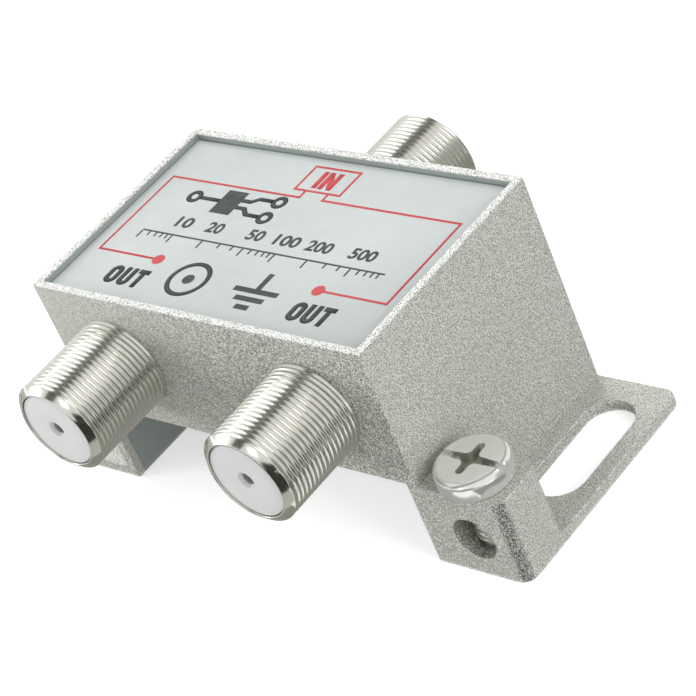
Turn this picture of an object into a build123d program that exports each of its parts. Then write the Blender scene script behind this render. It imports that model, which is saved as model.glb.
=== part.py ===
"""Two-way coaxial splitter: a cast housing on slotted feet with three threaded ports.

Millimetres, +Z up. The feet stand on z = 0, the origin is under the middle of the housing,
the two outputs face -Y and the input faces +Y.
"""

import os

from build123d import *

os.makedirs("parts", exist_ok=True)

# cast housing
body_width = 40.0
body_depth = 24.0
body_height = 14.6
leg_height = 9.0
side_wall = 1.2
end_wall = 1.3
roof = 1.0
rim_width = 0.8
recess_depth = 0.85

# feet
flange_width = 8.8
flange_thickness = 1.2
flange_corner = 1.2
slot_width = 5.3
slot_length = 12.5
slot_margin = 2.6

# earth clamp block on the right foot
block_depth = 5.9
block_height = 8.9
block_front_corner = 1.4
block_back_corner = 1.3
wire_hole_diameter = 4.4
wire_hole_height = 4.2

# clamp screw
screw_diameter = 4.0
screw_clearance = 0.05
screw_length = 6.6
screw_bottom_gap = 0.4
screw_tip_chamfer = 0.35
head_diameter = 7.0
head_height = 1.9
head_edge = 0.5
head_slot_width = 0.55
head_slot_depth = 0.55
cross_length = 3.8
cross_width = 0.7
cross_depth = 1.2
cross_web = 0.75
cross_taper = 10

# label in the roof recess
label_thickness = 0.15
label_gap = 0.1

# threaded ports
port_spacing = 23.5
port_rise = 7.2
port_diameter = 9.525
port_length = 9.7
port_chamfer = 0.55
port_lip = 0.15
port_bore = 7.8
tail_diameter = 8.9
tail_overhang = 0.3
boss_diameter = 12.0
boss_length = 1.6

# insulators and centre contacts
insulator_play = 0.03
insulator_set_back = 0.15
insulator_front = 1.6
pin_hole_diameter = 1.2
pin_countersink = 0.3
contact_diameter = 2.6
contact_bore = 1.6
contact_slit = 0.35
contact_slit_length = 4.5
contact_play = 0.05
contact_length = 8.0
contact_base = 1.2
tail_strip_width = 0.8
tail_strip_thickness = 0.3
tail_strip_bend = 0.8
tail_strip_reach = 4.5
tail_strip_below = 0.6

# circuit board, hung in the chamber under four cast corner pads
board_clearance = 0.6
board_thickness = 1.0
board_rise = 3.4
pad_overlap = 1.9
pin_diameter = 1.0
pin_inset = 1.2
pin_below = 0.5
hole_play = 0.1

# ferrite cores, both of one size
core_width = 7.0
core_length = 6.2
core_height = 4.2
core_hole = 1.8
core_hole_pitch = 3.8
core_offset = 5.0
winding_width = 0.7
winding_height = 1.2
winding_gap = 0.15
wire_diameter = 0.4
wire_below = 0.5

# chip capacitors and the chip resistor, all of one size
chip_length = 3.2
chip_width = 1.6
chip_height = 1.1
chip_end = 0.5
chip_plating = 0.06
chip_spacing = 2.6
trimmer_inset = 3.4

# closing plate below
cover_thickness = 0.5
cover_ledge = 0.5
cover_inset = 0.3
cover_gap = 0.1
cover_corner = 0.6

# places that follow from the sizes above
half_width = body_width / 2
half_depth = body_depth / 2
half_span = half_width + flange_width
body_top = leg_height + body_height
port_height = leg_height + port_rise
recess_floor = body_top - recess_depth
ceiling = recess_floor - roof
foot_centre = half_width + flange_width / 2
block_centre_y = -half_depth + block_depth / 2
slot_centre_y = half_depth - slot_margin - slot_length / 2
screw_tip = block_height - screw_length
tail_length = end_wall + boss_length + tail_overhang
board_top = leg_height + board_rise
board_bottom = board_top - board_thickness
chamber_width = body_width - 2 * side_wall
chamber_depth = body_depth - 2 * end_wall
board_width = chamber_width - 2 * board_clearance
board_depth = chamber_depth - 2 * (boss_length + board_clearance)
pin_x = board_width / 2 - pin_inset
pin_y = board_depth / 2 - pin_inset
pin_places = [(-pin_x, pin_y), (pin_x, -pin_y)]
tail_y = half_depth - tail_strip_reach
chip_y = tail_y - chip_spacing
winding_end = core_length / 2 + winding_gap + winding_width / 2
wire_places = [(-core_hole_pitch / 2, -winding_end), (core_hole_pitch / 2, winding_end)]
cover_bottom = leg_height + cover_inset

# each port: x of its axis, and the side of the housing that it leaves
ports = {
    "input": (0, 1),
    "left_output": (-port_spacing / 2, -1),
    "right_output": (port_spacing / 2, -1),
}

# each chip: its middle on the board, and the angle of its length
chips = {
    "input_capacitor": (0, chip_y, 90),
    "left_output_capacitor": (-port_spacing / 2, -chip_y, 90),
    "right_output_capacitor": (port_spacing / 2, -chip_y, 90),
    "trimming_capacitor": (board_width / 2 - trimmer_inset, chip_y, 0),
    "isolation_resistor": (0, -tail_y, 0),
}

# each ferrite core: x of its middle on the board
cores = {"matching": -core_offset, "dividing": core_offset}


def finish(piece, name):
    piece.part.label = name
    export_step(piece.part, f"parts/{name}.step")


def port_face(x, side):
    """Plane on the housing's end wall, facing out along the port."""
    return Plane(origin=(x, side * half_depth, port_height), x_dir=(1, 0, 0), z_dir=(0, side, 0))


def port_section(x, side):
    """Plane through the port's axis: local x runs out from the wall, local y is the radius."""
    return Plane(origin=(x, side * half_depth, port_height), x_dir=(0, side, 0), z_dir=(side, 0, 0))


def port_axis(x, side):
    return Axis((x, side * half_depth, port_height), (0, side, 0))


def at_corner(edges, x, y, reach=0.01):
    found = edges.filter_by(Axis.Z).filter_by_position(Axis.X, x - reach, x + reach)
    return found.filter_by_position(Axis.Y, y - reach, y + reach)


# the casting: a hat section, hollow from below, with the clamp block on its right foot
with BuildPart() as housing:
    with BuildSketch(Plane.XZ):
        with BuildLine():
            Polyline(
                (-half_span, 0),
                (-half_span, flange_thickness),
                (-half_width, flange_thickness),
                (-half_width, body_top),
                (half_width, body_top),
                (half_width, flange_thickness),
                (half_span, flange_thickness),
                (half_span, 0),
                (half_width - side_wall, 0),
                (half_width - side_wall, leg_height),
                (-half_width + side_wall, leg_height),
                (-half_width + side_wall, 0),
                close=True,
            )
        make_face()
    extrude(amount=half_depth, both=True)

    with BuildSketch():
        with Locations((foot_centre, block_centre_y)):
            Rectangle(flange_width, block_depth)
    extrude(amount=block_height)
    fillet(at_corner(housing.edges(), half_span, -half_depth), block_front_corner)
    fillet(at_corner(housing.edges(), half_span, block_depth - half_depth), block_back_corner)
    for x, y in ((half_span, half_depth), (-half_span, half_depth), (-half_span, -half_depth)):
        fillet(at_corner(housing.edges(), x, y), flange_corner)

    with BuildSketch():
        with Locations((-foot_centre, slot_centre_y), (foot_centre, slot_centre_y)):
            SlotOverall(slot_length, slot_width, rotation=90)
    extrude(amount=flange_thickness, mode=Mode.SUBTRACT)

    # wire hole, and the tapped hole that crosses it
    with BuildSketch(Plane.XZ.offset(half_depth)):
        with Locations((foot_centre, wire_hole_height)):
            Circle(wire_hole_diameter / 2)
    extrude(amount=-block_depth, mode=Mode.SUBTRACT)
    with Locations((foot_centre, block_centre_y, block_height)):
        Hole(screw_diameter / 2 + screw_clearance, depth=screw_length + screw_bottom_gap)

    # chamber for the circuit, with a pad in each corner, and the pins that locate the board
    with BuildSketch(Plane.XY.offset(leg_height)):
        Rectangle(chamber_width, chamber_depth)
    extrude(amount=ceiling - leg_height, mode=Mode.SUBTRACT)
    with BuildSketch(Plane.XY.offset(board_top)):
        Rectangle(chamber_width, chamber_depth)
        Rectangle(board_width - 2 * pad_overlap, chamber_depth, mode=Mode.SUBTRACT)
        Rectangle(chamber_width, board_depth - 2 * pad_overlap, mode=Mode.SUBTRACT)
    extrude(amount=ceiling - board_top)
    with BuildSketch(Plane.XY.offset(board_bottom - pin_below)):
        with Locations(*pin_places):
            Circle(pin_diameter / 2)
    extrude(amount=board_thickness + pin_below)

    # bosses that hold the ports, bored through for their tails
    for x, side in ports.values():
        with BuildSketch(port_face(x, side)):
            Circle(boss_diameter / 2)
        extrude(amount=-(end_wall + boss_length))
    for x, side in ports.values():
        with BuildSketch(port_face(x, side)):
            Circle(tail_diameter / 2)
        extrude(amount=-tail_length, mode=Mode.SUBTRACT)

    # ledge that the closing plate lies on, and the recess for the label
    with BuildSketch(Plane.XY.offset(leg_height)):
        Rectangle(chamber_width, chamber_depth + 2 * cover_ledge)
    extrude(amount=cover_inset + cover_thickness, mode=Mode.SUBTRACT)
    with BuildSketch(Plane.XY.offset(recess_floor)):
        Rectangle(body_width - 2 * rim_width, body_depth - 2 * rim_width)
    extrude(amount=recess_depth, mode=Mode.SUBTRACT)
finish(housing, "housing")

# printed foil in the recess
with BuildPart() as label_foil:
    with BuildSketch(Plane.XY.offset(recess_floor)):
        Rectangle(
            body_width - 2 * (rim_width + label_gap),
            body_depth - 2 * (rim_width + label_gap),
        )
    extrude(amount=label_thickness)
finish(label_foil, "label_foil")

# clamp screw, driven down on the wire hole
with BuildPart() as clamp_screw:
    with BuildSketch(Plane.XZ.offset(-block_centre_y)):
        with BuildLine():
            Polyline(
                (foot_centre, screw_tip),
                (foot_centre + screw_diameter / 2 - screw_tip_chamfer, screw_tip),
                (foot_centre + screw_diameter / 2, screw_tip + screw_tip_chamfer),
                (foot_centre + screw_diameter / 2, block_height),
                (foot_centre + head_diameter / 2, block_height),
                (foot_centre + head_diameter / 2, block_height + head_height),
                (foot_centre, block_height + head_height),
                close=True,
            )
        make_face()
    revolve(axis=Axis((foot_centre, block_centre_y, 0), (0, 0, 1)))
    chamfer(clamp_screw.edges().filter_by(GeomType.CIRCLE).sort_by(Axis.Z)[-1], head_edge)
    head_top = Plane((foot_centre, block_centre_y, block_height + head_height))
    with BuildSketch(head_top):
        Rectangle(head_diameter, head_slot_width)
    extrude(amount=-head_slot_depth, mode=Mode.SUBTRACT)
    with BuildSketch(head_top) as cross:
        Rectangle(cross_length, cross_width)
        Rectangle(cross_width, cross_length)
        fillet(cross.vertices().group_by(lambda v: Vector(v.X, v.Y).length)[0], cross_web)
    extrude(amount=-cross_depth, taper=cross_taper, mode=Mode.SUBTRACT)
finish(clamp_screw, "clamp_screw")

# ports: turned sleeve, moulded insulator, spring contact with a flat tail to the board
insulator_end = port_length - insulator_set_back
contact_end = insulator_end - insulator_front - contact_play
contact_start = contact_end - contact_length
for port, (x, side) in ports.items():
    with BuildPart() as sleeve:
        with BuildSketch(port_section(x, side)):
            with BuildLine():
                Polyline(
                    (-tail_length, port_bore / 2),
                    (-tail_length, tail_diameter / 2),
                    (0, tail_diameter / 2),
                    (0, port_diameter / 2),
                    (port_length - port_chamfer, port_diameter / 2),
                    (port_length, port_bore / 2 + port_lip),
                    (port_length, port_bore / 2),
                    close=True,
                )
            make_face()
        revolve(axis=port_axis(x, side))
    finish(sleeve, f"{port}_sleeve")

    with BuildPart() as insulator:
        contact_hole = contact_diameter / 2 + contact_play
        with BuildSketch(port_section(x, side)):
            with BuildLine():
                Polyline(
                    (-tail_length, contact_hole),
                    (-tail_length, port_bore / 2 - insulator_play),
                    (insulator_end, port_bore / 2 - insulator_play),
                    (insulator_end, pin_hole_diameter / 2 + pin_countersink),
                    (insulator_end - pin_countersink, pin_hole_diameter / 2),
                    (insulator_end - insulator_front, pin_hole_diameter / 2),
                    (insulator_end - insulator_front, contact_hole),
                    close=True,
                )
            make_face()
        revolve(axis=port_axis(x, side))
    finish(insulator, f"{port}_insulator")

    with BuildPart() as contact:
        with BuildSketch(port_section(x, side)):
            with BuildLine():
                Polyline(
                    (contact_start, 0),
                    (contact_start, contact_diameter / 2),
                    (contact_end, contact_diameter / 2),
                    (contact_end, contact_bore / 2),
                    (contact_start + contact_base, contact_bore / 2),
                    (contact_start + contact_base, 0),
                    close=True,
                )
            make_face()
        revolve(axis=port_axis(x, side))
        with BuildSketch(port_section(x, side)):
            with Locations((contact_end - contact_slit_length / 2, 0)):
                Rectangle(contact_slit_length, contact_diameter)
        extrude(amount=contact_slit / 2, both=True, mode=Mode.SUBTRACT)
        with BuildLine() as strip_path:
            FilletPolyline(
                (x, side * (half_depth + contact_start + contact_base / 2), port_height),
                (x, side * tail_y, port_height),
                (x, side * tail_y, board_bottom - tail_strip_below),
                radius=tail_strip_bend,
            )
        with BuildSketch(Plane(strip_path.line @ 0, x_dir=(1, 0, 0), z_dir=strip_path.line % 0)):
            Rectangle(tail_strip_width, tail_strip_thickness)
        sweep()
    finish(contact, f"{port}_contact")

# two-hole ferrite cores and the coils through them
for core, x in cores.items():
    core_middle = Plane((x, 0, board_top + core_height / 2))
    hole_places = [(-core_hole_pitch / 2, 0), (core_hole_pitch / 2, 0)]
    with BuildPart() as ferrite:
        with BuildSketch(Plane.XZ):
            with Locations((x, board_top + core_height / 2)):
                SlotOverall(core_width, core_height)
                with Locations(*hole_places):
                    Circle(core_hole / 2, mode=Mode.SUBTRACT)
        extrude(amount=core_length / 2, both=True)
    finish(ferrite, f"{core}_core")

    with BuildPart() as winding:
        with BuildSketch(core_middle):
            RectangleRounded(
                core_hole_pitch + winding_width,
                2 * winding_end + winding_width,
                winding_width,
            )
            Rectangle(
                core_hole_pitch - winding_width,
                2 * winding_end - winding_width,
                mode=Mode.SUBTRACT,
            )
        extrude(amount=winding_height / 2, both=True)
        with BuildSketch(core_middle):
            with Locations(*wire_places):
                Circle(wire_diameter / 2)
        extrude(amount=board_bottom - wire_below - core_middle.origin.Z)
    finish(winding, f"{core}_winding")

# chips soldered flat on the board: ceramic body between two plated ends
for name, (x, y, angle) in chips.items():
    chip_plane = Plane(Location((x, y, board_top), (0, 0, angle)))
    with BuildPart() as chip:
        with BuildSketch(chip_plane.offset(chip_plating)):
            Rectangle(chip_length - chip_end, chip_width - 2 * chip_plating)
        extrude(amount=chip_height - 2 * chip_plating)
        with BuildSketch(chip_plane):
            with Locations(((chip_end - chip_length) / 2, 0), ((chip_length - chip_end) / 2, 0)):
                Rectangle(chip_end, chip_width)
        extrude(amount=chip_height)
    finish(chip, name)

# circuit board, drilled for the pins, the windings and the tails of the contacts
with BuildPart() as circuit_board:
    with BuildSketch(Plane.XY.offset(board_bottom)):
        Rectangle(board_width, board_depth)
        with Locations(*pin_places):
            Circle(pin_diameter / 2 + hole_play, mode=Mode.SUBTRACT)
        for x, side in ports.values():
            with Locations((x, side * tail_y)):
                Rectangle(
                    tail_strip_width + 2 * hole_play,
                    tail_strip_thickness + 2 * hole_play,
                    mode=Mode.SUBTRACT,
                )
        for x in cores.values():
            with Locations((x, 0)):
                with Locations(*wire_places):
                    Circle(wire_diameter / 2 + hole_play, mode=Mode.SUBTRACT)
    extrude(amount=board_thickness)
finish(circuit_board, "circuit_board")

# plate that closes the chamber from below
with BuildPart() as bottom_cover:
    with BuildSketch(Plane.XY.offset(cover_bottom)):
        RectangleRounded(
            body_width - 2 * (side_wall + cover_gap),
            body_depth - 2 * (end_wall - cover_ledge + cover_gap),
            cover_corner,
        )
    extrude(amount=cover_thickness)
finish(bottom_cover, "bottom_cover")
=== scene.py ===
import math

import bmesh
import bpy
from mathutils import Matrix, Vector


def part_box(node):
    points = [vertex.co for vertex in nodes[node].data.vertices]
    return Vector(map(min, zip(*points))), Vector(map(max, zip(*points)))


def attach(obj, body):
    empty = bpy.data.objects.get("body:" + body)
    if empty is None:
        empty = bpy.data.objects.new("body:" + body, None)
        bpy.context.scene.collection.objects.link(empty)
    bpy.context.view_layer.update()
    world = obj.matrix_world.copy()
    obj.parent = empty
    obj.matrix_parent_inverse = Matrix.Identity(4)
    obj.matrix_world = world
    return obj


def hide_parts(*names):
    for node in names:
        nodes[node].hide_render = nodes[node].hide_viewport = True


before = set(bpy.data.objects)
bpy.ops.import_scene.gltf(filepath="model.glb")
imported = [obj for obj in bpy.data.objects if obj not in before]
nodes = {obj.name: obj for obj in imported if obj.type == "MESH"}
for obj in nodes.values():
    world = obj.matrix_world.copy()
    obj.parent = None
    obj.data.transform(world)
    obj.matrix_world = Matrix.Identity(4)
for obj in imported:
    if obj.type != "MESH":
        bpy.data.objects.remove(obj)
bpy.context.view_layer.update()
scene = bpy.context.scene
mm = 0.001
near = 0.01  # reach in millimetres within which points and edges are picked
print("splitter: frame loaded with", len(nodes), "pieces")


# helpers for shapes

def placed(point, turn=None):
    # from a piece's own millimetres to the frame's metres
    place = Matrix.Translation(Vector(point) * mm)
    return place @ (turn or Matrix()) @ Matrix.Scale(mm, 4)


def smoothStep(value, low, high):
    share = min(1.0, max(0.0, (value - low) / (high - low)))
    return share * share * (3 - 2 * share)


def chain(bm, points, closed=False):
    # a line of vertices and edges, the start of turned shapes and of printed lines
    line = [bm.verts.new(point) for point in points]
    edges = [bm.edges.new(pair) for pair in zip(line, line[1:])]
    if closed:
        edges.append(bm.edges.new((line[-1], line[0])))
    return line + edges


def arc(x, y, radius, start, end, steps=12):
    angles = [math.radians(start + (end - start) * step / steps) for step in range(steps + 1)]
    return [(x + radius * math.cos(angle), y + radius * math.sin(angle)) for angle in angles]


def turned(outline, steps):
    # lathe work: the outline is (along the axis, radius) and the axis is Z
    bm = bmesh.new()
    ring = chain(bm, [(radius, 0, along) for along, radius in outline], closed=True)
    bmesh.ops.spin(bm, geom=ring, cent=(0, 0, 0), axis=(0, 0, 1), dvec=(0, 0, 0),
                   angle=math.tau, steps=steps, use_merge=True, use_duplicate=False)
    bmesh.ops.remove_doubles(bm, verts=bm.verts, dist=1e-5)
    bmesh.ops.recalc_face_normals(bm, faces=bm.faces)
    return bm


def sharpEdges(bm, degrees):
    limit = math.radians(degrees)
    return [edge for edge in bm.edges if len(edge.link_faces) == 2 and edge.calc_face_angle() > limit]


def softened(bm, edges, width, segments=2):
    bmesh.ops.bevel(bm, geom=edges, offset=width, offset_type="OFFSET", segments=segments,
                    profile=0.5, affect="EDGES", material=-1, clamp_overlap=True)


def meshFrom(name, bm):
    mesh = bpy.data.meshes.new(name)
    bm.to_mesh(mesh)
    bm.free()
    return mesh


def shaded(mesh, degrees):
    mesh.polygons.foreach_set("use_smooth", [True] * len(mesh.polygons))
    mesh.set_sharp_from_angle(angle=math.radians(degrees))


def linked(name, data):
    # a new object in the scene
    thing = bpy.data.objects.new(name, data)
    bpy.context.collection.objects.link(thing)
    return thing


def evaluatedMesh(thing):
    # the mesh that an object's modifiers or its text make
    return bpy.data.meshes.new_from_object(thing.evaluated_get(bpy.context.evaluated_depsgraph_get()))


def vertsIn(raised):
    return [part for part in raised["geom"] if isinstance(part, bmesh.types.BMVert)]


def finished(name, bm, finish, body, stands, shadeAngle):
    bmesh.ops.recalc_face_normals(bm, faces=bm.faces)
    mesh = meshFrom(name, bm)
    if "custom_normal" in mesh.attributes:
        mesh.attributes.remove(mesh.attributes["custom_normal"])
    return asPiece(name, mesh, finish, body, stands, shadeAngle)


def asPiece(name, mesh, finish, body, stands, shadeAngle):
    piece = linked(name, mesh)
    mesh.materials.clear()
    mesh.materials.append(finish)
    shaded(mesh, shadeAngle)
    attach(piece, body)
    if stands:
        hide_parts(stands)
    return piece


# shared effects

noiseReach = (0.3, 0.7)  # nearly all values of a noise lie in here


def effect(name, inputs, outputs):
    group = bpy.data.node_groups.new(name, "ShaderNodeTree")
    for label, kind, value in inputs:
        socket = group.interface.new_socket(name=label, in_out="INPUT", socket_type=kind)
        if value is not None:
            socket.default_value = value
    for label, kind in outputs:
        group.interface.new_socket(name=label, in_out="OUTPUT", socket_type=kind)
    return group, group.nodes.new("NodeGroupInput"), group.nodes.new("NodeGroupOutput")


def feed(tree, socket, value):
    # a number or a colour is set on the socket itself, anything else is linked to it
    if isinstance(value, (int, float)):
        socket.default_value = value
    elif isinstance(value, tuple):
        socket.default_value = (*value, 1)
    else:
        tree.links.new(value, socket)


def mathNode(tree, operation, first, second):
    node = tree.nodes.new("ShaderNodeMath")
    node.operation = operation
    feed(tree, node.inputs[0], first)
    feed(tree, node.inputs[1], second)
    return node.outputs[0]


def plus(tree, first, second):
    return mathNode(tree, "ADD", first, second)


def minus(tree, first, second):
    return mathNode(tree, "SUBTRACT", first, second)


def times(tree, first, second):
    return mathNode(tree, "MULTIPLY", first, second)


def above(tree, value, limit):
    # 1 where the value is over the limit, 0 elsewhere
    return mathNode(tree, "GREATER_THAN", value, limit)


def below(tree, value, limit):
    return mathNode(tree, "LESS_THAN", value, limit)


def mixColour(tree, factor, first, second):
    node = tree.nodes.new("ShaderNodeMix")
    node.data_type = "RGBA"
    for socket, value in ((node.inputs[0], factor), (node.inputs[6], first), (node.inputs[7], second)):
        feed(tree, socket, value)
    return node.outputs[2]


def spread(tree, value, low, high, toLow=0.0, toHigh=1.0):
    node = tree.nodes.new("ShaderNodeMapRange")
    tree.links.new(value, node.inputs["Value"])
    node.inputs["From Min"].default_value = low
    node.inputs["From Max"].default_value = high
    node.inputs["To Min"].default_value = toLow
    node.inputs["To Max"].default_value = toHigh
    return node.outputs["Result"]


def noiseNode(tree, vector, scale, detail=2.0, roughness=0.5, dimensions="3D"):
    node = tree.nodes.new("ShaderNodeTexNoise")
    node.noise_dimensions = dimensions
    node.inputs["Detail"].default_value = detail
    node.inputs["Roughness"].default_value = roughness
    feed(tree, node.inputs["Scale"], scale)
    if vector is not None:
        tree.links.new(vector, node.inputs["Vector"])
    return node


grainForm = {
    "contrast": (0.34, 0.66),  # noise values that come out dark and light
    "cloudScale": 0.22,  # against the grains
    "cloudShade": 0.03,
    "pitScale": 0.8,  # against the grains
    "pitEdge": (0.6, 0.25),  # share of a cell at which a pit begins and is deepest
    "pitDepth": 0.8,
}


def makeCastGrain():
    # sandy skin of a casting: fine grains with scattered dark pits
    form = grainForm
    group, given, result = effect(
        "castGrain",
        [("Vector", "NodeSocketVector", None), ("Grains per metre", "NodeSocketFloat", 7000.0),
         ("Pit share", "NodeSocketFloat", 0.35)],
        [("Grain", "NodeSocketFloat"), ("Pits", "NodeSocketFloat"), ("Height", "NodeSocketFloat")],
    )
    vector, perMetre = given.outputs["Vector"], given.outputs["Grains per metre"]
    grains = noiseNode(group, vector, perMetre, 1.5, 0.6)
    clouds = noiseNode(group, vector, times(group, perMetre, form["cloudScale"]))
    cells = group.nodes.new("ShaderNodeTexVoronoi")
    cells.feature = "F1"
    group.links.new(vector, cells.inputs["Vector"])
    group.links.new(times(group, perMetre, form["pitScale"]), cells.inputs["Scale"])
    chance = group.nodes.new("ShaderNodeSeparateColor")
    group.links.new(cells.outputs["Color"], chance.inputs["Color"])
    chosen = below(group, chance.outputs[0], given.outputs["Pit share"])
    pits = times(group, chosen, spread(group, cells.outputs["Distance"], *form["pitEdge"]))
    mottle = spread(group, clouds.outputs["Fac"], *noiseReach, -form["cloudShade"], form["cloudShade"])
    grain = plus(group, spread(group, grains.outputs["Fac"], *form["contrast"]), mottle)
    group.links.new(grain, result.inputs["Grain"])
    group.links.new(pits, result.inputs["Pits"])
    group.links.new(minus(group, grain, times(group, pits, form["pitDepth"])), result.inputs["Height"])
    return group


handlingForm = {"detail": 4.0, "uneven": 0.6, "finer": 24.0}  # finer: fine marks across one patch


def makeHandling():
    # soft uneven sheen that handling leaves on a smooth surface
    form = handlingForm
    group, given, result = effect(
        "handling",
        [("Vector", "NodeSocketVector", None), ("Patches per metre", "NodeSocketFloat", 180.0)],
        [("Patches", "NodeSocketFloat"), ("Fine", "NodeSocketFloat")],
    )
    vector, perMetre = given.outputs["Vector"], given.outputs["Patches per metre"]
    patches = noiseNode(group, vector, perMetre, form["detail"], form["uneven"])
    fine = noiseNode(group, vector, times(group, perMetre, form["finer"]))
    group.links.new(spread(group, patches.outputs["Fac"], *noiseReach), result.inputs["Patches"])
    group.links.new(spread(group, fine.outputs["Fac"], *noiseReach), result.inputs["Fine"])
    return group


def makeToolLines():
    # lines that a cutting tool leaves, one value for each place along the feed
    group, given, result = effect(
        "toolLines",
        [("Along", "NodeSocketFloat", 0.0), ("Lines per metre", "NodeSocketFloat", 9000.0)],
        [("Lines", "NodeSocketFloat")],
    )
    lines = noiseNode(group, None, given.outputs["Lines per metre"], 3.0, 0.7, "1D")
    group.links.new(given.outputs["Along"], lines.inputs["W"])
    group.links.new(spread(group, lines.outputs["Fac"], *noiseReach), result.inputs["Lines"])
    return group


castGrain = makeCastGrain()
handling = makeHandling()
toolLines = makeToolLines()


def surface(name, colour, metallic=0.0, roughness=0.5, specular=None):
    material = bpy.data.materials.new(name)
    material.use_nodes = True
    tree = material.node_tree
    shader = tree.nodes["Principled BSDF"]
    feed(tree, shader.inputs["Base Color"], colour)
    shader.inputs["Metallic"].default_value = metallic
    shader.inputs["Roughness"].default_value = roughness
    if specular is not None:
        shader.inputs["Specular IOR Level"].default_value = specular
    spots = tree.nodes.new("ShaderNodeTexCoord")
    return material, tree, shader, spots.outputs["Object"]


def placedEffect(tree, group, *values):
    # values go to the sockets of the effect in their order
    node = tree.nodes.new("ShaderNodeGroup")
    node.node_tree = group
    for socket, value in zip(node.inputs, values):
        feed(tree, socket, value)
    return node.outputs


def coloured(tree, shader, colour):
    tree.links.new(colour, shader.inputs["Base Color"])


def roughened(tree, shader, share, ends):
    # roughness goes from the first end to the second as the share goes from 0 to 1
    tree.links.new(spread(tree, share, 0.0, 1.0, *ends), shader.inputs["Roughness"])


def bumped(tree, shader, height, strength, depth):
    bump = tree.nodes.new("ShaderNodeBump")
    bump.inputs["Strength"].default_value = strength
    bump.inputs["Distance"].default_value = depth * mm
    tree.links.new(height, bump.inputs["Height"])
    tree.links.new(bump.outputs["Normal"], shader.inputs["Normal"])


def alongAxis(tree, vector, axis):
    parts = tree.nodes.new("ShaderNodeSeparateXYZ")
    tree.links.new(vector, parts.inputs["Vector"])
    return parts.outputs[axis]


def boxMask(tree, vector, low, high):
    # 1 inside a box given in millimetres
    mask = 1.0
    for axis, start, end in zip("XYZ", low, high):
        value = alongAxis(tree, vector, axis)
        mask = times(tree, mask, above(tree, value, start * mm))
        mask = times(tree, mask, below(tree, value, end * mm))
    return mask


def roundMask(tree, vector, first, second, reach, axes="XY"):
    # 1 inside a cylinder given in millimetres, by its middle on two axes
    squares = [mathNode(tree, "POWER", minus(tree, alongAxis(tree, vector, axis), middle * mm), 2.0)
               for axis, middle in zip(axes, (first, second))]
    return below(tree, plus(tree, *squares), (reach * mm) ** 2)


# finishes

zincLook = {
    "dark": (0.16, 0.16, 0.13),
    "light": (1.0, 1.0, 0.94),
    "pit": (0.07, 0.07, 0.055),
    "pitShade": 0.85,
    "metallic": 0.4,
    "roughness": (0.60, 0.40),  # of the dark and of the light grains
    "grains": 9200.0,
    "pitShare": 0.42,
    "coarse": 0.72,  # strength of the grain away from the front
    "front": (-11.9, 8.95),  # the front wall is before this y and over this z
    "even": (-19.0, 6.0, 0.35),  # the front wall is finer on its left: from and to in x, share there
    "corner": (28.07, 28.24, 8.9),  # painted dark reflection down the block's rounded corner: from and to on the diagonal, top
    "cornerGrain": (0.75, 0.35, 0.2, 1.0),
    "rim": (0.91, 0.915, 0.89),  # painted highlight along the crest of the rim round the roof
    "rimHeight": (23.42, 23.56),
    "rimGrain": (0.12, 0.6),
    "bareShaded": (0.335, 0.37, 0.36),  # as cast, not blasted, in a darker colour that is painted shade: inner faces of the legs under the body, walls of the recess
    "bareShadedZones": ((18.95, 11.2, -8.98, 8.98), (19.4, 11.4, 22.5, 23.45)),  # reach in x and y, z from and to
    "bareSmooth": 0.92,
    # painted shade on the wall of the wire hole
    "drilled": (0.10, 0.11, 0.075),
    "drilledGrain": (0.1, 0.5, 0.8, 0.2),
    "wireHole": (24.4, 4.2, 2.27),  # x, z and reach of the drilled hole
    "wireHoleFront": -11.98,
    "bump": (0.9, 0.045),  # strength and depth, here and in the other finishes
}


def zincGrainStrength(tree, spots, look):
    # full on the right of the front wall, less on its left and on the other walls
    frontY, frontZ = look["front"]
    fromX, toX, least = look["even"]
    onFront = times(tree, below(tree, alongAxis(tree, spots, "Y"), frontY * mm),
                    above(tree, alongAxis(tree, spots, "Z"), frontZ * mm))
    change = spread(tree, alongAxis(tree, spots, "X"), fromX * mm, toX * mm,
                    least - look["coarse"], 1.0 - look["coarse"])
    return plus(tree, look["coarse"], times(tree, onFront, change))


# painted dark reflection: a dark streak down the clamp block's rounded front corner
def zincCornerStreak(tree, spots, grain, look):
    fromU, toU, topZ = look["corner"]
    across = minus(tree, alongAxis(tree, spots, "X"), alongAxis(tree, spots, "Y"))
    streak = spread(tree, times(tree, across, math.sqrt(0.5)), fromU * mm, toU * mm)
    streak = times(tree, streak, below(tree, alongAxis(tree, spots, "Z"), topZ * mm))
    return times(tree, streak, spread(tree, grain["Grain"], *look["cornerGrain"]))


# painted shade: the wire hole's wall is darkened, broken up by the grain
def zincDrilledWall(tree, spots, grain, look):
    behindFront = above(tree, alongAxis(tree, spots, "Y"), look["wireHoleFront"] * mm)
    wall = times(tree, roundMask(tree, spots, *look["wireHole"], "XZ"), behindFront)
    return times(tree, wall, spread(tree, grain["Height"], *look["drilledGrain"]))


# painted highlight: the rim's crest is lighter, broken up by the grain
def zincRim(tree, spots, grain, look):
    start, full = look["rimHeight"]
    rim = spread(tree, alongAxis(tree, spots, "Z"), start * mm, full * mm)
    return times(tree, rim, spread(tree, grain["Height"], *look["rimGrain"]))


# smooth as-cast faces whose darker colour is painted shade: the legs' inner faces under the body, the recess
# walls
def zincBareFaces(tree, spots, look):
    bareShaded = 0.0
    for reachX, reachY, lowZ, highZ in look["bareShadedZones"]:
        zone = boxMask(tree, spots, (-reachX, -reachY, lowZ), (reachX, reachY, highZ))
        bareShaded = mathNode(tree, "MAXIMUM", bareShaded, zone)
    return bareShaded


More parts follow.
